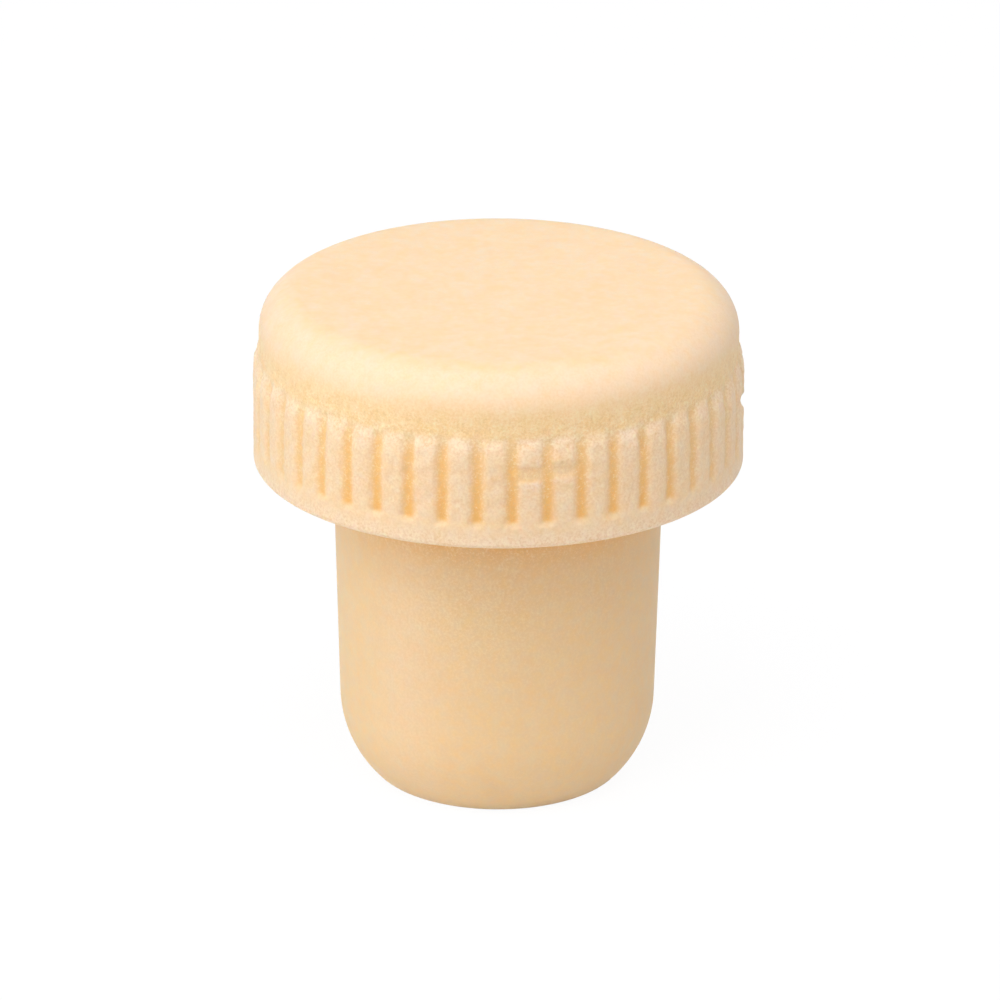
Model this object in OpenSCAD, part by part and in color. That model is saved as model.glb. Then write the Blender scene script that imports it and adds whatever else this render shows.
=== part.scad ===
// Bar-top bottle stopper, moulded in one piece from foamed synthetic cork.
// A wide ribbed cap sits on a slightly tapered shank with a rounded tip.
// The origin is the centre of the flat foot under the shank, with +Z up along the axis.
// Angles around the axis are counted from -Y, towards +X.

/* [Cap] */
// Diameter of the cap, over the ribs and the plain band below them
cap_d = 29; // [24:0.5:36]
// Height of the cap, from its flat underside to its flat top
cap_h = 10.6; // [9.2:0.1:14]
// Radius of the rounded edge around the cap's top
top_edge_r = 2.45; // [0.5:0.05:3]
// Radius of the rounded edge around the cap's underside
under_edge_r = 0.6; // [0.2:0.05:1.2]

/* [Ribs] */
// Number of ribs around the cap
rib_count = 45; // [24:1:60]
// Angle of rib number 0, in degrees
rib_start = -1.1; // [-4:0.1:4]
// Radial height of a rib above the smooth wall
rib_depth = 0.35; // [0.2:0.05:0.6]
// Height of the ribs' upper ends above the cap's underside
rib_top_h = 7.2; // [5:0.1:7.5]
// Height of the slope at each rib's upper end
rib_slope_h = 1; // [0.3:0.1:1.4]
// Width of a groove between two ribs, at its floor
groove_floor_w = 0.5; // [0.3:0.05:0.7]
// Width of a groove between two ribs, at its mouth
groove_mouth_w = 0.9; // [0.7:0.05:1.1]
// Height of the plain band below the grooves
band_h = 1.65; // [1.3:0.05:3]
// How much deeper a groove is at its foot than at its top
groove_draft = 0.2; // [0:0.05:0.4]

/* [Shank] */
// Diameter of the shank where it meets the cap
shank_d = 19.6; // [16:0.1:24]
// Length of the shank below the cap
shank_len = 19.7; // [14:0.1:30]
// Taper of the shank's side, in degrees
shank_taper = 1.55; // [0:0.05:2.5]
// Radius of the rounded tip between the shank's side and its foot
tip_r = 6.8; // [4:0.1:10]
// Diameter of the flat foot
foot_d = 14.5; // [9:0.1:17.5]

/* [Chips] */
// Length of the chip that breaks a front rib right through
front_chip_len = 0.85; // [0.4:0.05:1.5]
// Height of the front chip's centre above the cap's underside
front_chip_h = 4.6; // [2.5:0.1:5.5]
// Length of the shallow chip in the next rib
shallow_chip_len = 1.15; // [0.4:0.05:1.5]
// Height of the shallow chip's centre above the cap's underside
shallow_chip_h = 5; // [2.5:0.1:5.5]
// Depth of the shallow chip
shallow_chip_depth = 0.2; // [0.1:0.05:0.2]
// Length of the nick across two ribs at the side
side_nick_len = 0.9; // [0.4:0.05:1.5]
// Height of the side nick's centre above the cap's underside
side_nick_h = 3.55; // [2.5:0.05:5.5]

/* [Hidden] */
cork_colour = [0.96, 0.84, 0.64];
$fn = 180;
// Groove and chip floors stay this far outside the wall, so that they never scratch it.
floor_clear = 0.01;
// The tip's arc stands this far past the side, so that the two cross cleanly.
arc_clear = 0.002;
// Cutting shapes reach this far past the surface that they cut.
past = 1;
cap_r = cap_d / 2;
wall_r = cap_r - rib_depth;
shank_r = shank_d / 2;
foot_r = foot_d / 2;
cap_top_z = shank_len + cap_h;
rib_top_z = shank_len + rib_top_h;
band_top_z = shank_len + band_h;
rib_pitch = 360 / rib_count;
// Ribs with damage, counted from rib 0: two chipped ones in front and a nicked pair at the side
front_chip_rib = 1;
shallow_chip_rib = 2;
side_nick_rib = 11.5;

// Centre of the tip's arc, which runs from the tapered side down to the edge of the foot.
// The centre lies tip_r inside the side, and tip_r away from the foot's edge.
side_tan = tan(shank_taper);
tip_in_r = shank_r - shank_len * side_tan - tip_r / cos(shank_taper) + arc_clear;
tip_reach = foot_r - tip_in_r;
tip_c_z = (tip_reach * side_tan + sqrt((1 + side_tan ^ 2) * tip_r ^ 2 - tip_reach ^ 2)) / (1 + side_tan ^ 2);
tip_c_r = tip_in_r + tip_c_z * side_tan;

// Area to cut away outside an arc, from one angle to the other, both counted from the outward direction
module round_corner(centre, radius, from, to) {
    reach = radius + past;
    translate(centre)
        difference() {
            polygon([
                [0, 0],
                reach * [cos(from), sin(from)],
                2 * reach * [cos((from + to) / 2), sin((from + to) / 2)],
                reach * [cos(to), sin(to)]
            ]);
            circle(r = radius);
        }
}

// Half section of the shank: tapered side, rounded tip and flat foot
module shank_section() {
    difference() {
        polygon([[0, 0], [shank_r - shank_len * side_tan, 0], [shank_r, shank_len], [0, shank_len]]);
        round_corner([tip_c_r, tip_c_z], tip_r, -shank_taper, -90);
    }
}

// Half section of the cap before the grooves are cut: plain band, ribs' slope, wall and round top edge
module cap_section() {
    difference() {
        polygon([
            [0, shank_len],
            [cap_r, shank_len],
            [cap_r, rib_top_z - rib_slope_h],
            [wall_r, rib_top_z],
            [wall_r, cap_top_z],
            [0, cap_top_z]
        ]);
        round_corner([cap_r - under_edge_r, shank_len + under_edge_r], under_edge_r, 0, -90);
        round_corner([wall_r - top_edge_r, cap_top_z - top_edge_r], top_edge_r, 90, 0);
    }
}

// One groove, on the -Y side, with slanting sides and a floor that leans in towards its foot
module groove() {
    length = rib_top_z - band_top_z;
    translate([0, -wall_r - floor_clear, rib_top_z])
        rotate([atan(groove_draft / length), 0, 0])
            translate([0, 0, -length])
                linear_extrude(length + past)
                    polygon([
                        [-groove_floor_w / 2, 0],
                        [groove_floor_w / 2, 0],
                        [groove_mouth_w / 2, -rib_depth - groove_draft],
                        [groove_mouth_w, -rib_depth - groove_draft - past],
                        [-groove_mouth_w, -rib_depth - groove_draft - past],
                        [-groove_mouth_w / 2, -rib_depth - groove_draft]
                    ]);
}

// A piece broken out of the ribs, centred on the given rib and height
module chip(rib, height, length, depth, ribs_wide) {
    width = ribs_wide * cap_d * tan(rib_pitch / 2);
    rotate([0, 0, rib_start + rib * rib_pitch])
        translate([-width / 2, -cap_r - past, shank_len + height - length / 2])
            cube([width, depth + past - floor_clear, length]);
}

module stopper() {
    color(cork_colour)
        difference() {
            rotate_extrude() {
                shank_section();
                cap_section();
            }
            for (i = [0 : rib_count - 1])
                rotate([0, 0, rib_start + (i + 0.5) * rib_pitch]) groove();
            chip(front_chip_rib, front_chip_h, front_chip_len, rib_depth, 1);
            chip(shallow_chip_rib, shallow_chip_h, shallow_chip_len, shallow_chip_depth, 1);
            chip(side_nick_rib, side_nick_h, side_nick_len, rib_depth, 2);
        }
}

stopper();
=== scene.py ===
"""Looks of the cork stopper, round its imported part: one mesh of foamed cork, a floor and soft lamps."""

import math
from typing import NamedTuple

import bpy
import numpy as np
from mathutils import Matrix, Vector


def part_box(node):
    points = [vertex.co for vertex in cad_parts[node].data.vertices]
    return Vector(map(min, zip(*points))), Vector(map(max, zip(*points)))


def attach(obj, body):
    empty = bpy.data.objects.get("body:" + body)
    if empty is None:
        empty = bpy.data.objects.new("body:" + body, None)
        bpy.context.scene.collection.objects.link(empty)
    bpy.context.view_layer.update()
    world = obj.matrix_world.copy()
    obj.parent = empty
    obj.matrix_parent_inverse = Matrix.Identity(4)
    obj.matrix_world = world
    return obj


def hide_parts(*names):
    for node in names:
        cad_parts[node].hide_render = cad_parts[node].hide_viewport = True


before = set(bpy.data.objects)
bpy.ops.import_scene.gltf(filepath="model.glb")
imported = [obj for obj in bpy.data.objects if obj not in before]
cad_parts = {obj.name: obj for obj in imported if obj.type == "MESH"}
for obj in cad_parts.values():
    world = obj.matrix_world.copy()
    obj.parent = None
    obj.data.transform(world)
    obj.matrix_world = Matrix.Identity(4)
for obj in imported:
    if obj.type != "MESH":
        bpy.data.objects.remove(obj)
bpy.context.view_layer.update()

MM = 0.001
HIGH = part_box("stopper")[1] / MM

# ---- Sizes, in millimetres. Heights count from the foot, radii from the axis. ----
CAP_R = HIGH.x
TOP_Z = HIGH.z
SEAT_Z = 19.7  # the cap's underside
WALL_R = CAP_R - 0.35  # the plain wall over the ribs, and the grooves' floor at its top
TOP_EDGE_R = 2.45
SHOULDER_Z = TOP_Z - TOP_EDGE_R  # where the wall starts to turn into the shoulder
UNDER_EDGE_R = 0.38
SHANK_R = 9.8
SHANK_TAPER = math.radians(1.55)
TIP_R = 6.8
FOOT_R = 7.25
INNER_EDGE = 0.25  # rounding where the shank meets the cap
FOOT_EDGE = 0.35  # rounding where the tip meets the foot

# ---- Ribs. Angles are in degrees, from the front (-Y) towards +X. ----
# A pair is where a smooth change starts and where it is complete, in that order.
RIB_COUNT = 45
RIB_PITCH = 360 / RIB_COUNT
RIB_START = -0.75
RIB_DRIFT = 0.8  # the ribs stand closer at the back: at the sides they are this far off an even spacing
RIB_FLAT = 1.55  # a rib's top runs this far to each side of its middle
RIB_REACH = 3.7  # its flank ends this far from its middle
RIB_DOME = 0.03  # a rib's shoulders lie this much below its middle
RIB_END = 26.6  # above this height a rib has sunk into the wall
RIB_STEP = 0.8  # it gains this share of its height within a step at its end
RIB_STEP_SPAN = (RIB_END, 25.6)
RIB_EASE_SPAN = (25.8, 24.9)  # and the rest here
RIB_TAPER = 0.25  # it is narrower by this much to each side at its end
RIB_TAPER_SPAN = (25.1, RIB_END)
RIB_SHIFT = 0.035  # spread of the ribs' ends, up and down
RIB_LIFT = 0.4  # the ribs' ends lie this much higher round the back half than at the front
RIB_LIFT_SPAN = (70, 90)  # angles to either side of the front
RIB_SHEEN = 0.65  # how much painted sheen pales the ribs and the band, next to the cap's top
PROUD_SPAN = (0.12, 0.72)  # shares of a rib's height over which the painted sheen comes in

# ---- Grooves, and the painted shade in them ----
GROOVE_LEDGE = (21.48, 20.88)  # the ledge that closes a groove
GROOVE_RISE = 0.18  # a groove's floor rises by this much over the plain wall's radius
GROOVE_RISE_SPAN = (RIB_END, 23.6)
SHADE_SPAN = (26.45, 25.15)  # the painted shade comes in here
GROOVE_SHADE_SHARE = 0.62  # up to this share, and grows to full at the foot
SHADE_FOOT = 21.36  # where it ends
SHADE_FADE = 0.36  # height over which it ends
SHADE_REACH = 1.6  # it fades this far from a groove's middle, in degrees
SIDE_PALER = 0.85  # share of it that grooves and chips at the sides have lost
SIDE_SPAN = (30, 72, 88, 130)  # angles to either side where that loss starts, is full, still is, is over


# ---- Chips ----
class Chip(NamedTuple):
    """A nick across the ribs, deepest in its middle. Angles in degrees on even ribs, the rest in mm."""

    angle: float
    height: float
    half_width: float
    half_height: float
    depth: float
    soft_above: float  # height over which its upper edge eases in
    soft_below: float
    lean: float = 0  # rise for each degree of angle


CHIPS = [
    Chip(RIB_START + RIB_PITCH, 24.32, 0.8 * RIB_PITCH, 0.45, 0.13, 0.3, 0.2),
    Chip(RIB_START + 2 * RIB_PITCH, 24.45, 0.8 * RIB_PITCH, 0.4, 0.11, 0.7, 0.35),
    Chip(90, 23.34, 13, 0.3, 0.34, 0.6, 0.5, lean=-0.1),
]
CHIP_SHADE = 2.2  # share of painted shade for each millimetre of a chip's depth
CHIP_SHADE_MOST = 0.45
CHIP_LIT_RIM = 0.45  # height of the painted highlight on the rim under a chip
CHIP_BARE = 0.1  # a chip this deep carries no frosting and no painted highlight

# ---- Shares of pale frosting and painted highlight ----
BAND_FROST = 0.26  # on the ribs, and on the band under them
END_HIGHLIGHT = 0.58  # painted highlight at the ribs' ends
END_HIGHLIGHT_SPAN = (24.75, 26.25)  # it grows from the one to the other here
END_HIGHLIGHT_FADE = (26.55, 26.2)  # over the ribs' ends there is none
FROST_WIDTH = 1.5  # it covers a rib's top and this much of its flanks
FROST_SPREAD = 0.2  # how much it differs from rib to rib, as a share
UNDER_EDGE_HIGHLIGHT = 0.6  # painted highlight, light from the floor, on the rounding under the cap's edge
RIM_HIGHLIGHT = 0.4  # painted highlight on the shoulder
RIM_HIGHLIGHT_SPAN = (0.05, 0.45, 1.7, 2.9)  # depths under the top where it starts, is full, still is, is over

# ---- Painted sheen and painted shade up the cap's wall, and painted shade under the cap ----
SHEEN_SPAN = (RIB_END, TOP_Z - 0.6)  # painted sheen: the shoulder is paler upwards
WALL_SHADE_SPAN = (RIB_END - 0.4, RIB_END + 0.2, SHOULDER_Z - 0.2, SHOULDER_Z + 1.2)  # painted shade: the wall is warmer here
CORNER_SHADE = 0.95  # share of painted shade in the corner under the cap
CORNER_SPAN = (SEAT_Z - 4, SEAT_Z)  # up the shank
CORNER_EDGE_SPAN = (CAP_R - 1, CAP_R - 3)  # and inwards from the cap's edge


# ---- Grain and a painted highlight on the shank, and grain up the cap ----
class Patch(NamedTuple):
    """A soft spot on the shank. Angles in degrees, heights in mm."""

    angle: float
    height: float
    half_width: float
    half_height: float
    strength: float


LEAST_GRAIN = 0.2  # on the foot
SHANK_GRAIN = 1.3  # just under the cap
GRAIN_PATCHES = [
    Patch(-8, 14, 28, 4.5, 0.5),
    Patch(38, 15, 14, 3, 0.2),
    Patch(118, 11, 30, 4, 0.4),
    Patch(-122, 14, 34, 5, 0.4),
]
CAP_GRAIN_HEIGHTS = (20, 21.5, 22.2, 25, 26.5, 27.2, 28.6)
CAP_GRAIN = (0.55, 0.6, 0.85, 0.9, 1.35, 1.2, 0.28)  # at those heights
# painted highlight on the shank's left, where a lamp's reflection falls
SHANK_HIGHLIGHT = Patch(-35, 9, 14, 9, 0.26)

# ---- Mesh ----
COARSE = 300  # columns round the plain surfaces
SPLIT = 3  # columns in the ribs for each of those
FINE = COARSE * SPLIT
COLUMN_PLACES = (0, 0.4, 0.6, 1)  # these shares of a rib's columns, from groove to groove,
COLUMN_SHARES = (0, 0.37, 0.63, 1)  # lie within these shares of its pitch
ROW_MARGIN = 0.06  # the close rows at a groove's ledge start and end this far past it
LAST_ROW = 0.2  # the last ribbed row lies this far over the highest rib's end
RIB_ROWS = (14, 36, 19, 1)  # up the ledge, the grooves, the ribs' ends and from there to the last row
SEED = 7
FOAM_DEPTH = 0.016
FOAM_SIZE = 0.22


def ramp(x, start, end):
    """Smooth step from 0 at start to 1 at end, which may lie either way."""
    t = np.clip((x - start) / (end - start), 0, 1)
    return t * t * (3 - 2 * t)


def plateau(x, rise_start, rise_end, fall_start, fall_end):
    """Smooth step up from 0 to 1, and further on down to 0 again."""
    return ramp(x, rise_start, rise_end) * ramp(x, fall_end, fall_start)


def turn_from(angle, angles):
    """How far these angles lie from one angle, in degrees from -180 to 180."""
    return (angles - angle + 180) % 360 - 180


def arc(centre, radius, start, end, steps):
    """Points of a section's arc between two angles in degrees, counted from outwards to up."""
    angles = np.radians(np.linspace(start, end, steps + 1))
    return [(centre[0] + radius * math.cos(a), centre[1] + radius * math.sin(a)) for a in angles]


def bend(start, corner, end, steps):
    """Points of a soft corner from start to end."""
    t = np.linspace(0, 1, steps + 1)[:, None]
    points = (1 - t) ** 2 * np.array(start) + 2 * t * (1 - t) * np.array(corner) + t**2 * np.array(end)
    return [tuple(p) for p in points]


def line(start, end, steps):
    """Points inside a straight stretch, without its ends."""
    t = np.linspace(0, 1, steps + 1)[1:-1]
    return [(start[0] + (end[0] - start[0]) * s, start[1] + (end[1] - start[1]) * s) for s in t]


def tip_centre():
    """Middle of the tip's arc, which touches the tapered side and reaches the foot's edge."""
    lean = math.tan(SHANK_TAPER)
    inner = SHANK_R - SEAT_Z * lean - TIP_R / math.cos(SHANK_TAPER)
    reach = FOOT_R - inner
    height = (reach * lean + math.sqrt((1 + lean**2) * TIP_R**2 - reach**2)) / (1 + lean**2)
    return inner + height * lean, height


def shank_section():
    """Section from the foot's middle up the tip and side to the cap's underside, and out to its edge."""
    centre = tip_centre()
    foot_angle = -math.degrees(math.acos((FOOT_R - centre[0]) / TIP_R))
    tip_start = foot_angle + math.degrees(FOOT_EDGE / TIP_R)
    tip = arc(centre, TIP_R, tip_start, -math.degrees(SHANK_TAPER), steps=18)
    foot_end = (FOOT_R - FOOT_EDGE, 0)
    side_end = (SHANK_R - INNER_EDGE * math.tan(SHANK_TAPER), SEAT_Z - INNER_EDGE)
    seat_start = (SHANK_R + INNER_EDGE, SEAT_Z)
    seat_end = (CAP_R - UNDER_EDGE_R, SEAT_Z)
    return (
        line((0, 0), foot_end, steps=6)
        + bend(foot_end, (FOOT_R, 0), tip[0], steps=4)[:-1]
        + tip
        + line(tip[-1], side_end, steps=20)
        + bend(side_end, (SHANK_R, SEAT_Z), seat_start, steps=4)
        + line(seat_start, seat_end, steps=4)
        + arc((seat_end[0], SEAT_Z + UNDER_EDGE_R), UNDER_EDGE_R, -90, 0, steps=8)
    )


def top_section():
    """Section from the plain wall over the shoulder to the middle of the cap's top."""
    shoulder = arc((WALL_R - TOP_EDGE_R, SHOULDER_Z), TOP_EDGE_R, 0, 90, steps=22)
    return shoulder + line(shoulder[-1], (0, TOP_Z), steps=10)


def rib_heights():
    """Heights of the rows from band to shoulder, closest at the grooves' feet and the ribs' ends."""
    ledge_high, ledge_low = GROOVE_LEDGE
    highest = RIB_END + RIB_LIFT
    stops = [ledge_low - ROW_MARGIN, ledge_high + ROW_MARGIN, RIB_EASE_SPAN[0], highest, highest + LAST_ROW]
    spans = zip(stops, stops[1:], RIB_ROWS)
    rows = [np.linspace(low, high, count, endpoint=False) for low, high, count in spans]
    return np.concatenate(rows + [stops[-1:]])


def column_angles():
    """Angles of the fine columns, in degrees on even ribs: a little wider apart on the ribs' tops."""
    per_rib = FINE // RIB_COUNT
    share = np.interp(np.arange(per_rib) / per_rib, COLUMN_PLACES, COLUMN_SHARES)
    ribs = np.arange(RIB_COUNT)[:, None]
    return ((ribs + share + 0.5) * RIB_PITCH + RIB_START).ravel()


def drifted(angles):
    """Where these angles really lie, as the ribs' spacing drifts round the cap."""
    return angles + RIB_DRIFT * np.sin(np.radians(angles))


def foam(heights, columns, step, size, seed):
    """Random relief at these heights with lumps of about this size, joined round each row. Its spread is 1.
    The columns lie one step apart."""
    rows = math.ceil((heights[-1] - heights[0]) / step) + 1
    grain = np.random.default_rng(seed).standard_normal((rows, columns))
    along = np.fft.fftfreq(rows, step)[:, None]
    across = np.fft.fftfreq(columns, step)[None, :]
    blur = np.exp(-2 * (math.pi * size / 2) ** 2 * (along**2 + across**2))
    relief = np.real(np.fft.ifft2(np.fft.fft2(grain) * blur))
    place = (heights - heights[0]) / step
    low = np.minimum(place.astype(int), rows - 2)
    part = (place - low)[:, None]
    return ((1 - part) * relief[low] + part * relief[low + 1]) / relief.std()


def rib_place(angles):
    """How far these angles are from the nearest rib's middle, and that rib's number."""
    turns = (angles - RIB_START) / RIB_PITCH
    number = np.round(turns)
    return np.abs(turns - number) * RIB_PITCH, number.astype(int) % RIB_COUNT


def uneven_ribs(number):
    """How far up the ribs of these numbers are shifted, and how strongly they are frosted and given painted
    highlight, at random.
    """
    uneven = np.random.default_rng(SEED)
    shift = uneven.normal(0, RIB_SHIFT, RIB_COUNT)
    pale = uneven.normal(1, FROST_SPREAD, RIB_COUNT)
    return shift[number], pale[number]


def chip_depth(angles, heights):
    """How far the chips cut into the ribs, in millimetres, and how much painted highlight lies on a rim
    under them.
    """
    cut = np.zeros((len(heights), len(angles)))
    lit_rim = cut.copy()
    edge = CHIP_LIT_RIM / 2
    for chip in CHIPS:
        off = turn_from(chip.angle, angles)
        across = np.clip(1 - (off / chip.half_width) ** 2, 0, 1)
        reach = chip.half_height * np.sqrt(across)
        rise = heights[:, None] - chip.height - chip.lean * off
        below, above = chip.soft_below / 2, chip.soft_above / 2
        inside = plateau(rise, -reach - below, -reach + below, reach - above, reach + above)
        cut = np.maximum(cut, chip.depth * inside * across)
        lit_rim = np.maximum(lit_rim, plateau(-reach - rise, -edge, edge, edge, 3 * edge) * across)
    return cut, lit_rim


def rib_end(heights):
    """Share of its full height that a rib has at these heights: down from its end, a step, then an ease."""
    return RIB_STEP * ramp(heights, *RIB_STEP_SPAN) + (1 - RIB_STEP) * ramp(heights, *RIB_EASE_SPAN)


def rib_frost_and_highlight(heights):
    """How frosted with pale grains and given painted highlight a rib is at these heights, as a share: most
    just under its upper end, where the painted highlight lies.
    """
    strength = BAND_FROST + (END_HIGHLIGHT - BAND_FROST) * ramp(heights, *END_HIGHLIGHT_SPAN)
    return strength * ramp(heights, *END_HIGHLIGHT_FADE)


def groove_shade(off, side, cut, rows):
    """How strong the painted shade in the grooves and chips is, as a share: deepest at the grooves' feet.
    """
    across = np.exp(-(((RIB_PITCH / 2 - off) / SHADE_REACH) ** 2))
    growth = np.interp(rows, (SHADE_FOOT, SHADE_SPAN[1]), (1, GROOVE_SHADE_SHARE))
    shade_share = across * ramp(rows, *SHADE_SPAN) * growth
    shade_share = np.maximum(shade_share, np.minimum(CHIP_SHADE * cut, CHIP_SHADE_MOST))
    shade_share = shade_share * (1 - SIDE_PALER * plateau(side, *SIDE_SPAN))
    return shade_share * ramp(rows, SHADE_FOOT - SHADE_FADE / 2, SHADE_FOOT + SHADE_FADE / 2)


def rib_surface(angles, heights):
    """Radius at each height (rows) and angle (columns) of the ribbed zone, with its colour shares: how
    strong its painted shade is, how proud of the plain wall it stands, and how frosted it is, with painted
    highlight."""
    rows = heights[:, None]
    off, number = rib_place(angles)
    shift, pale = uneven_ribs(number)
    side = np.abs(turn_from(0, angles))
    cut, lit_rim = chip_depth(angles, heights)
    raised = rows - shift - RIB_LIFT * ramp(side, *RIB_LIFT_SPAN)
    foot = ramp(rows, *GROOVE_LEDGE)

    end = rib_end(raised)
    flank = ramp(off + RIB_TAPER * ramp(raised, *RIB_TAPER_SPAN), RIB_REACH, RIB_FLAT)
    crest = WALL_R + (CAP_R - RIB_DOME * (off / RIB_REACH) ** 2 - WALL_R) * end
    crest = np.maximum(crest - cut, WALL_R)
    floor = np.minimum(WALL_R + GROOVE_RISE * ramp(raised, *GROOVE_RISE_SPAN), crest)
    radius = floor + (crest - floor) * flank
    radius = radius * (1 - foot) + CAP_R * foot

    proud = np.maximum(ramp(end * flank - cut / (CAP_R - WALL_R), *PROUD_SPAN), foot)
    # frosting, with painted highlight at the ribs' ends and on the rims under the chips
    frost_and_highlight = np.maximum(rib_frost_and_highlight(raised), END_HIGHLIGHT * lit_rim) * pale
    frost_and_highlight = frost_and_highlight * np.minimum(FROST_WIDTH * flank, 1) * ramp(cut, CHIP_BARE, 0)
    frost_and_highlight = np.maximum(frost_and_highlight * (1 - foot), BAND_FROST * foot)
    return radius, groove_shade(off, side, cut, rows), proud, np.clip(frost_and_highlight, 0, 1)


def ring(count):
    """Each place round a ring, with the next one."""
    return [(i, (i + 1) % count) for i in range(count)]


class Skin:
    """Vertices, faces and colour shares of the one mesh, built row by row from the foot to the top."""

    # shares: painted shade, painted sheen, frosting with painted highlight, painted shade on the wall, and
    # grain
    SHARES = ("painted_shade", "worn", "frost_and_highlight", "wall_shade", "sugar")

    def __init__(self):
        self.points, self.faces = [], []
        self.shares = {name: [] for name in self.SHARES}
        self.count, self.last, self.last_columns = 0, None, 0

    def add(self, x, y, z, shares):
        """These vertices, with the shares that aren't given at 0, and the first one's number."""
        start = self.count
        self.points.append(np.stack([x, y, z], axis=1))
        for name in self.SHARES:
            self.shares[name].append(np.broadcast_to(shares.get(name, 0), len(x)))
        self.count += len(x)
        return start

    def pole(self, z, **shares):
        """The single vertex at either end."""
        start = self.add(np.zeros(1), np.zeros(1), np.full(1, z), shares)
        self.faces += [(self.last + i, self.last + j, start) for i, j in ring(self.last_columns)]
        self.last, self.last_columns = start, 1

    def row(self, angles, radii, z, **shares):
        """A ring of vertices joined to the one before, which may have more or fewer columns."""
        turned = np.radians(angles)
        columns = len(angles)
        start = self.add(radii * np.sin(turned), -radii * np.cos(turned), np.full(columns, z), shares)
        low = self.last
        if self.last_columns == 1:
            self.faces += [(low, start + j, start + i) for i, j in ring(columns)]
        elif self.last_columns == columns:
            self.faces += [(low + i, low + j, start + j, start + i) for i, j in ring(columns)]
        else:
            self.join_uneven(low, self.last_columns, start, columns)
        self.last, self.last_columns = start, columns

    def join_uneven(self, low, low_columns, high, high_columns):
        """Triangles between a coarse ring and a fine one."""
        upward = low_columns < high_columns
        coarse, fine = (low, high) if upward else (high, low)
        count, fine_count = sorted((low_columns, high_columns))
        ratio = fine_count // count
        half = ratio // 2
        for i, j in ring(count):
            near, far = coarse + i, coarse + j
            edge = [fine + (i * ratio + k) % fine_count for k in range(ratio + 1)]
            fan = [(near, edge[k], edge[k + 1]) for k in range(half)]
            fan.append((near, edge[half], far))
            fan += [(far, edge[k], edge[k + 1]) for k in range(half, ratio)]
            self.faces += [(a, c, b) if upward else (a, b, c) for a, b, c in fan]


def patch_strength(patch, angles, z):
    """How strong a patch is at these angles and this height."""
    off = turn_from(patch.angle, angles) / patch.half_width
    rise = (z - patch.height) / patch.half_height
    return patch.strength * np.exp(-(off**2) - rise**2)


def shank_grain(angles, z):
    """Strength of the grain on the shank and tip: most under the cap, and in patches lower down."""
    strength = LEAST_GRAIN + (SHANK_GRAIN - LEAST_GRAIN) * ramp(z, *CORNER_SPAN)
    for patch in GRAIN_PATCHES:
        strength = strength + patch_strength(patch, angles, z)
    return np.minimum(strength, SHANK_GRAIN)


def cap_grain(z):
    """Strength of the grain on the cap at this height."""
    return np.interp(z, CAP_GRAIN_HEIGHTS, CAP_GRAIN)


def shank_looks(angles, r, z):
    """Shares of a row between the foot and the ribs, at this radius and height."""
    edge = ramp(r, CAP_R - UNDER_EDGE_R, CAP_R)
    # painted highlight on the shank's left
    shank_highlight = patch_strength(SHANK_HIGHLIGHT, angles, z)
    return {
        # painted shade in the corner under the cap
        "painted_shade": CORNER_SHADE * ramp(z, *CORNER_SPAN) * ramp(r, *CORNER_EDGE_SPAN),
        # painted sheen on the rounding under the cap's edge
        "worn": RIB_SHEEN * edge,
        # painted highlight on the rounding under the cap's edge, and the shank's painted highlight under it
        "frost_and_highlight": np.maximum(UNDER_EDGE_HIGHLIGHT * edge, shank_highlight * (1 - edge)),
        "sugar": np.maximum(shank_grain(angles, z), cap_grain(z) * edge),
    }


def rib_looks(z, painted_shade, proud, frost_and_highlight):
    """Shares of a row in the ribbed zone at this height."""
    return {
        # painted shade in the grooves and chips
        "painted_shade": painted_shade,
        # painted sheen on the ribs and up the shoulder
        "worn": np.maximum(RIB_SHEEN * proud, ramp(z, *SHEEN_SPAN)),
        # frosting with painted highlight
        "frost_and_highlight": frost_and_highlight,
        # painted shade, warmer, on the plain wall off the ribs
        "wall_shade": plateau(z, *WALL_SHADE_SPAN) * (1 - proud),
        "sugar": cap_grain(z),
    }


def top_looks(z):
    """Shares of a row on the shoulder or the top at this height."""
    return {
        # painted sheen, growing up the shoulder
        "worn": ramp(z, *SHEEN_SPAN),
        # painted highlight on the shoulder
        "frost_and_highlight": RIM_HIGHLIGHT * plateau(TOP_Z - z, *RIM_HIGHLIGHT_SPAN),
        # painted shade, warmer, where the wall turns into the shoulder
        "wall_shade": plateau(z, *WALL_SHADE_SPAN),
        "sugar": cap_grain(z),
    }


def stopper_skin():
    """The stopper's closed surface in millimetres."""
    even_angles = column_angles()
    fine_angles = drifted(even_angles)
    coarse_angles = fine_angles[::SPLIT]
    heights = rib_heights()
    radius, painted_shade, proud, frost_and_highlight = rib_surface(even_angles, heights)
    relief = foam(heights, FINE, 2 * math.pi * CAP_R / FINE, FOAM_SIZE, SEED)
    radius = np.minimum(radius + FOAM_DEPTH * (relief - 1), CAP_R)

    skin = Skin()
    skin.pole(0, sugar=LEAST_GRAIN)
    for r, z in shank_section():
        skin.row(coarse_angles, np.full(COARSE, r), z, **shank_looks(coarse_angles, r, z))
    for k, z in enumerate(heights):
        skin.row(fine_angles, radius[k], z, **rib_looks(z, painted_shade[k], proud[k], frost_and_highlight[k]))
    for r, z in top_section():
        skin.row(coarse_angles, np.full(COARSE, r), z, **top_looks(z))
    # painted sheen at its fullest on the top
    skin.pole(TOP_Z, worn=1, sugar=cap_grain(TOP_Z))
    return skin


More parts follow.
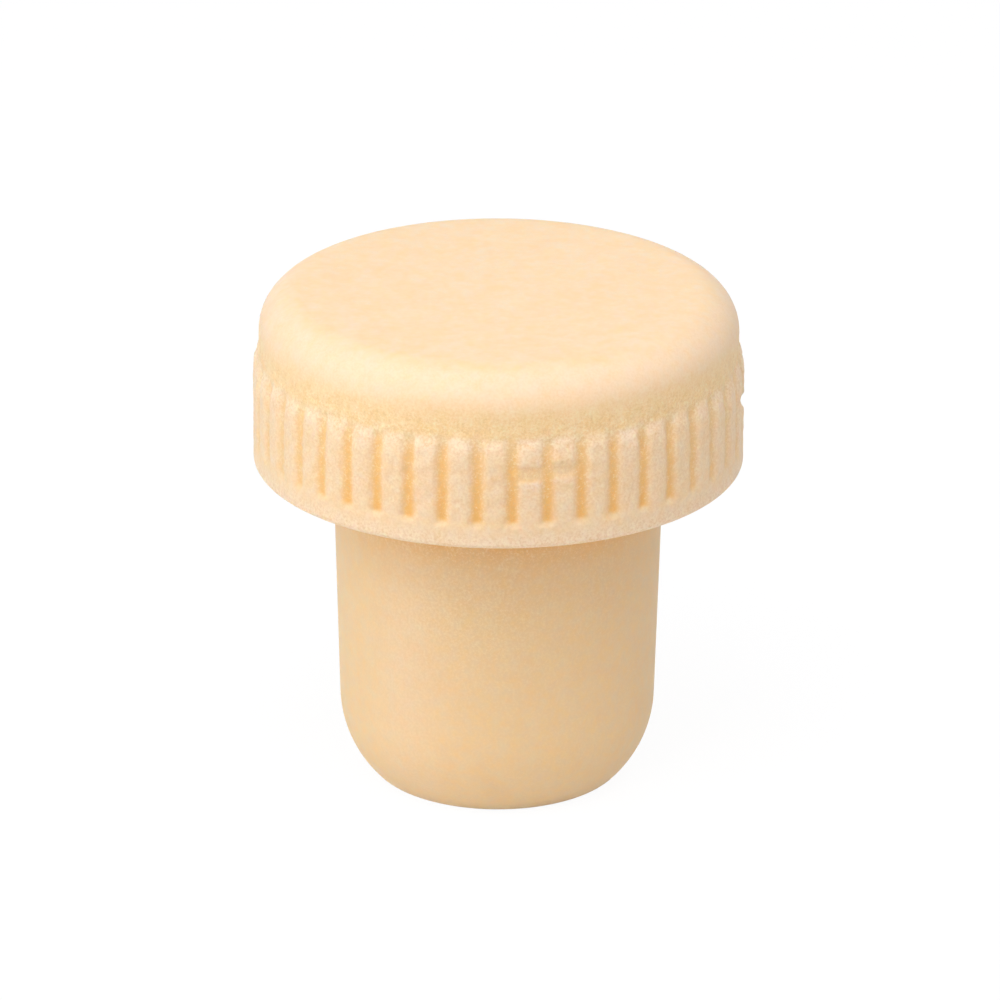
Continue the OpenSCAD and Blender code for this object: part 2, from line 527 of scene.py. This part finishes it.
def stopper_mesh():
    """The stopper as one closed mesh in metres, with its shares as attributes."""
    skin = stopper_skin()
    mesh = bpy.data.meshes.new("stopper_look")
    mesh.from_pydata((np.concatenate(skin.points) * MM).tolist(), [], skin.faces)
    mesh.shade_smooth()
    for name, values in skin.shares.items():
        share = mesh.attributes.new(name, "FLOAT", "POINT")
        share.data.foreach_set("value", np.concatenate(values).astype(np.float32))
    return mesh


# ---- Materials ----
def linear(*shown):
    """A colour given as red, green and blue on a screen, 0 to 255, as Blender's linear colour."""
    levels = [level / 255 for level in shown]
    return [c / 12.92 if c <= 0.04045 else ((c + 0.055) / 1.055) ** 2.4 for c in levels] + [1]


class Nodes:
    """Short ways to build a node tree."""

    def __init__(self, tree):
        self.tree = tree
        tree.nodes.clear()

    def add(self, kind, **values):
        """A node with its input sockets, or its own settings, set by name."""
        node = self.tree.nodes.new(kind)
        for name, value in values.items():
            if hasattr(node, name):
                setattr(node, name, value)
            else:
                node.inputs[name.replace("_", " ")].default_value = value
        return node

    def link(self, source, target):
        self.tree.links.new(source, target)

    def output(self, kind, surface):
        """The tree's output node, showing this surface."""
        self.link(surface, self.add(kind).inputs["Surface"])

    def millimetres(self):
        """Place on the object, in millimetres."""
        scaled = self.add("ShaderNodeMapping", Scale=(1 / MM, 1 / MM, 1 / MM))
        self.link(self.add("ShaderNodeTexCoord").outputs["Object"], scaled.inputs["Vector"])
        return scaled.outputs["Vector"]

    def noise(self, place, size, detail, roughness=0.5):
        """Noise with lumps of about this size."""
        node = self.add("ShaderNodeTexNoise", Scale=1 / size, Detail=detail, Roughness=roughness)
        self.link(place, node.inputs["Vector"])
        return node.outputs["Fac"]

    def spread(self, value, source, target):
        """A value carried from one range to another, and held inside it. Each range is a pair."""
        (low, high), (to_low, to_high) = source, target
        node = self.add("ShaderNodeMapRange", From_Min=low, From_Max=high, To_Min=to_low, To_Max=to_high)
        self.link(value, node.inputs["Value"])
        return node.outputs["Result"]

    def share(self, name):
        """One of the mesh's own shares."""
        return self.add("ShaderNodeAttribute", attribute_name=name).outputs["Fac"]

    def maths(self, operation, first, second):
        """Arithmetic on two values, each a socket or a number."""
        node = self.add("ShaderNodeMath", operation=operation)
        for socket, value in zip(node.inputs, (first, second)):
            if isinstance(value, (int, float)):
                socket.default_value = value
            else:
                self.link(value, socket)
        return node.outputs["Value"]

    def mix(self, factor, first, second):
        """Two colours mixed, each a socket or a colour. The factor is a socket."""
        node = self.add("ShaderNodeMix", data_type="RGBA")
        for socket, value in zip((node.inputs[0], node.inputs[6], node.inputs[7]), (factor, first, second)):
            if isinstance(value, list):
                socket.default_value = value
            else:
                self.link(value, socket)
        return node.outputs[2]


# ---- Foamed cork: its colours, the sizes of its noises in millimetres, and how much each noise does ----
CORK_TAN = linear(239, 211, 168)
# pale colour of the painted sheen
SHEEN_PALE = linear(245, 219, 186)
# deep tone of the painted shade, also used for random blotches
SHADE_AND_BLOTCH_TONE = linear(244, 187, 103)
# pale colour of the frosting and of the painted highlight
FROST_AND_HIGHLIGHT_TONE = linear(251, 223, 199)
# warmer colour of the painted shade on the plain wall
WALL_SHADE_TONE = linear(255, 220, 170)
CORK_YELLOW = linear(252, 210, 140)
DARK_GRAIN = linear(229, 191, 138)
PALE_GRAIN = linear(255, 234, 194)
FINE_SIZE = 0.05
GRAIN_SIZE = 0.15
CLOUD_SIZE = 0.6
BLOTCH_SIZE = 1.3
MOST_NOISE = (0.3, 0.7)  # most of a noise lies between these,
ALL_NOISE = (0.2, 0.8)  # and nearly all of it between these
PATCHY_SHADE = (0.75, 1.25)  # the grain varies the painted shade by these factors,
PATCHY_FROST = (0.4, 1)  # and the frosting with its painted highlight by these,
FROST_NOISE = (0.35, 0.6)  # over this much of the noise
CLOUD_YELLOW = (0, 0.5)  # share of yellow in the clouds
BLOTCH_DEEP = (0, 0.16)  # and of the same deep tone in the random blotches
FINE_SPECKLE = (-0.35, 0.35)  # the speckle's parts: above 0 is pale, below 0 is dark
GRAIN_SPECKLE = (-0.8, 0.8)
CLOUD_SPECKLE = (0.35, -0.35)
PALE_SPECKLE = (0, 0.85)  # share of pale grain at a speckle of 1
DARK_SPECKLE = (0, 0.6)  # and of dark grain at a speckle of -1
BUMP_HEIGHT = 0.02
BUMP_STRENGTH = (0.15, 0.6)  # from no grain to a grain of 1
ROUGHNESS = (0.5, 0.6)
SPECULAR = 0.5
SCATTER = 0.5
SCATTER_REACH = 0.4
SCATTER_RADII = (1.0, 0.6, 0.3)  # for red, green and blue, as shares of that reach


def cork_colour(n, grain, clouds, blotches):
    """Cream, paler with painted sheen where it stands proud, paler where frosted or given painted
    highlight, warmer with painted shade in the grooves, chips, under the cap and on the plain wall, with
    faint clouds.
    """
    # painted shade, made patchy by the grain, plus random blotches of the same deep tone
    patchy_shade = n.maths("MULTIPLY", n.share("painted_shade"), n.spread(grain, MOST_NOISE, PATCHY_SHADE))
    shade_and_blotches = n.maths("ADD", patchy_shade, n.spread(blotches, MOST_NOISE, BLOTCH_DEEP))
    # frosting and painted highlight, patchy with the grain
    frost_and_highlight = n.maths("MULTIPLY", n.share("frost_and_highlight"), n.spread(grain, FROST_NOISE, PATCHY_FROST))
    # painted sheen where it stands proud and up the shoulder
    colour = n.mix(n.share("worn"), CORK_TAN, SHEEN_PALE)
    # painted shade on the plain wall
    colour = n.mix(n.share("wall_shade"), colour, WALL_SHADE_TONE)
    colour = n.mix(n.spread(clouds, MOST_NOISE, CLOUD_YELLOW), colour, CORK_YELLOW)
    # the deep tone: painted shade and random blotches
    colour = n.mix(shade_and_blotches, colour, SHADE_AND_BLOTCH_TONE)
    return n.mix(frost_and_highlight, colour, FROST_AND_HIGHLIGHT_TONE)


def speckled(n, colour, fine, grain, clouds, sugar):
    """The colour with a sugary speckle of pale and dark grains, as strong as the mesh's sugar says."""
    speckle = n.spread(fine, ALL_NOISE, FINE_SPECKLE)
    speckle = n.maths("ADD", speckle, n.spread(grain, ALL_NOISE, GRAIN_SPECKLE))
    speckle = n.maths("ADD", speckle, n.spread(clouds, ALL_NOISE, CLOUD_SPECKLE))
    speckle = n.maths("MULTIPLY", speckle, sugar)
    colour = n.mix(n.spread(speckle, (0, 1), PALE_SPECKLE), colour, PALE_GRAIN)
    return n.mix(n.spread(speckle, (0, -1), DARK_SPECKLE), colour, DARK_GRAIN)


def cork_material():
    """Foamed cork: a matt cream foam that lets a little light in under its grain."""
    material = bpy.data.materials.new("foamed_cork")
    material.use_nodes = True
    n = Nodes(material.node_tree)
    place = n.millimetres()
    fine = n.noise(place, FINE_SIZE, detail=0)
    grain = n.noise(place, GRAIN_SIZE, detail=1)
    clouds = n.noise(place, CLOUD_SIZE, detail=3, roughness=0.6)
    blotches = n.noise(place, BLOTCH_SIZE, detail=2)
    sugar = n.share("sugar")

    bump = n.add("ShaderNodeBump", Distance=BUMP_HEIGHT * MM)
    n.link(n.spread(sugar, (0, 1), BUMP_STRENGTH), bump.inputs["Strength"])
    n.link(grain, bump.inputs["Height"])

    surface = n.add(
        "ShaderNodeBsdfPrincipled",
        Specular_IOR_Level=SPECULAR,
        Subsurface_Weight=SCATTER,
        Subsurface_Scale=SCATTER_REACH * MM,
        Subsurface_Radius=SCATTER_RADII,
    )
    colour = speckled(n, cork_colour(n, grain, clouds, blotches), fine, grain, clouds, sugar)
    n.link(colour, surface.inputs["Base Color"])
    n.link(n.spread(grain, MOST_NOISE, ROUGHNESS), surface.inputs["Roughness"])
    n.link(bump.outputs["Normal"], surface.inputs["Normal"])
    n.output("ShaderNodeOutputMaterial", surface.outputs["BSDF"])
    return material


WHITE = (1, 1, 1, 1)
FLOOR_COLOUR = (0.85, 0.85, 0.85, 1)
FLOOR_WHITE_SHARE = 0.92  # the rest of what is seen of it is its lit surface, which keeps a faint shadow
FLOOR_WHITE = 1.03  # strength of that white


def seen_directly(n):
    """1 for rays that show the background: from the camera, or by way of a mirror or glass."""
    rays = n.add("ShaderNodeLightPath")
    shown = n.maths("MAXIMUM", rays.outputs["Is Camera Ray"], rays.outputs["Is Glossy Ray"])
    return n.maths("MAXIMUM", shown, rays.outputs["Is Transmission Ray"])


def floor_material():
    """White studio floor that shows nearly pure white and keeps a faint shadow."""
    material = bpy.data.materials.new("white_floor")
    material.use_nodes = True
    n = Nodes(material.node_tree)
    lit = n.add("ShaderNodeBsdfDiffuse", Color=FLOOR_COLOUR)
    white = n.add("ShaderNodeEmission", Color=WHITE, Strength=FLOOR_WHITE)
    blend = n.add("ShaderNodeMixShader")
    n.link(n.maths("MULTIPLY", seen_directly(n), FLOOR_WHITE_SHARE), blend.inputs[0])
    n.link(lit.outputs["BSDF"], blend.inputs[1])
    n.link(white.outputs["Emission"], blend.inputs[2])
    n.output("ShaderNodeOutputMaterial", blend.outputs["Shader"])
    return material


# ---- Studio: lengths in metres ----
FLOOR_HALF = 3.0
LAMP_DISTANCE = 0.5
NEUTRAL = (1.0, 1.0, 1.0)
BLUSH = (1.0, 0.88, 0.78)
COOL = (0.93, 0.93, 1.0)


class Lamp(NamedTuple):
    """A square soft lamp. Angles in degrees, the azimuth from the front towards +X."""

    name: str
    azimuth: float
    elevation: float
    width: float
    level: float  # how brightly it lights a surface that faces it, where 1 renders a colour as written
    colour: tuple


LAMPS = [
    Lamp("left", -90, 10, 0.3, 0.266, NEUTRAL),
    Lamp("right", 90, 10, 0.3, 0.125, BLUSH),
    Lamp("back", 180, 10, 0.3, 0.06, NEUTRAL),
    Lamp("front_left", -45, 35, 0.35, 0.176, NEUTRAL),
    Lamp("front", -8, 35, 0.35, 0.222, NEUTRAL),
    Lamp("high_left", -45, 62, 0.42, 0.527, COOL),
    Lamp("high_right", 45, 62, 0.42, 0.312, COOL),
    Lamp("high_side", 100, 62, 0.42, 0.134, COOL),
    Lamp("top", 0, 88, 0.5, 0.177, COOL),
]

# ---- Camera: lengths in millimetres, angles in degrees ----
CAMERA_ELEVATION = 21.4
CAMERA_DISTANCE = 472.7
CAMERA_LENS = 288
TARGET_Z = 23.32
AIM_DOWN = 0.7162  # the camera looks this far under the target, so that it shows above the middle
AIM_RIGHT = 0.0098
CAMERA_ROLL = 0.3
NEAREST, FURTHEST = 10, 20000  # what lies between these is seen


def outward(azimuth, elevation):
    """Unit vector from the object, with the azimuth counted from the front towards +X."""
    a, e = math.radians(azimuth), math.radians(elevation)
    return Vector((math.sin(a) * math.cos(e), -math.cos(a) * math.cos(e), math.sin(e)))


def add_object(name, data):
    """An object in the scene that shows this data."""
    made = bpy.data.objects.new(name, data)
    bpy.context.scene.collection.objects.link(made)
    return made


def build_stopper():
    """The stopper's look, in place of its one solid."""
    mesh = stopper_mesh()
    mesh.materials.append(cork_material())
    stopper = add_object("stopper_look", mesh)
    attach(stopper, "root")
    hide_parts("stopper")


def build_floor():
    """A wide square floor under the foot."""
    mesh = bpy.data.meshes.new("floor")
    h = FLOOR_HALF
    mesh.from_pydata([(-h, -h, 0), (h, -h, 0), (h, h, 0), (-h, h, 0)], [], [(0, 1, 2, 3)])
    mesh.materials.append(floor_material())
    floor = add_object("floor", mesh)


def build_world():
    """A world that shows white, and sheds no light of its own."""
    world = bpy.data.worlds.new("studio")
    bpy.context.scene.world = world
    world.use_nodes = True
    n = Nodes(world.node_tree)
    background = n.add("ShaderNodeBackground", Color=WHITE)
    n.link(seen_directly(n), background.inputs["Strength"])
    n.output("ShaderNodeOutputWorld", background.outputs["Background"])


def build_lamps():
    """The lamps, aimed at the middle of the object."""
    middle = Vector((0, 0, TOP_Z / 2 * MM))
    for lamp in LAMPS:
        light = bpy.data.lights.new(lamp.name, "AREA")
        light.shape = "SQUARE"
        light.size = lamp.width
        light.energy = lamp.level * math.pi**2 * LAMP_DISTANCE**2
        light.color = lamp.colour
        made = add_object(lamp.name, light)
        direction = outward(lamp.azimuth, lamp.elevation)
        made.location = middle + direction * LAMP_DISTANCE
        made.rotation_mode = "QUATERNION"
        made.rotation_quaternion = direction.to_track_quat("Z", "Y")
        made.visible_glossy = False  # a lamp mirrored in the cap's flat top would bleach it


def build_camera():
    """The camera, where the photograph's stood."""
    camera = bpy.data.cameras.new("camera")
    camera.lens = CAMERA_LENS
    camera.clip_start, camera.clip_end = NEAREST * MM, FURTHEST * MM
    made = add_object("camera", camera)
    direction = outward(0, CAMERA_ELEVATION)
    look = direction.to_track_quat("Z", "Y").to_matrix()
    roll = Matrix.Rotation(math.radians(CAMERA_ROLL), 3, "Z")
    down = Matrix.Rotation(math.radians(-AIM_DOWN), 3, "X")
    right = Matrix.Rotation(math.radians(-AIM_RIGHT), 3, "Y")
    place = (look @ roll @ (down @ right)).to_4x4()
    place.translation = Vector((0, 0, TARGET_Z * MM)) + direction * (CAMERA_DISTANCE * MM)
    made.matrix_world = place
    bpy.context.scene.camera = made


bpy.context.scene.view_settings.view_transform = "Standard"
build_stopper()
build_floor()
build_world()
build_lamps()
build_camera()
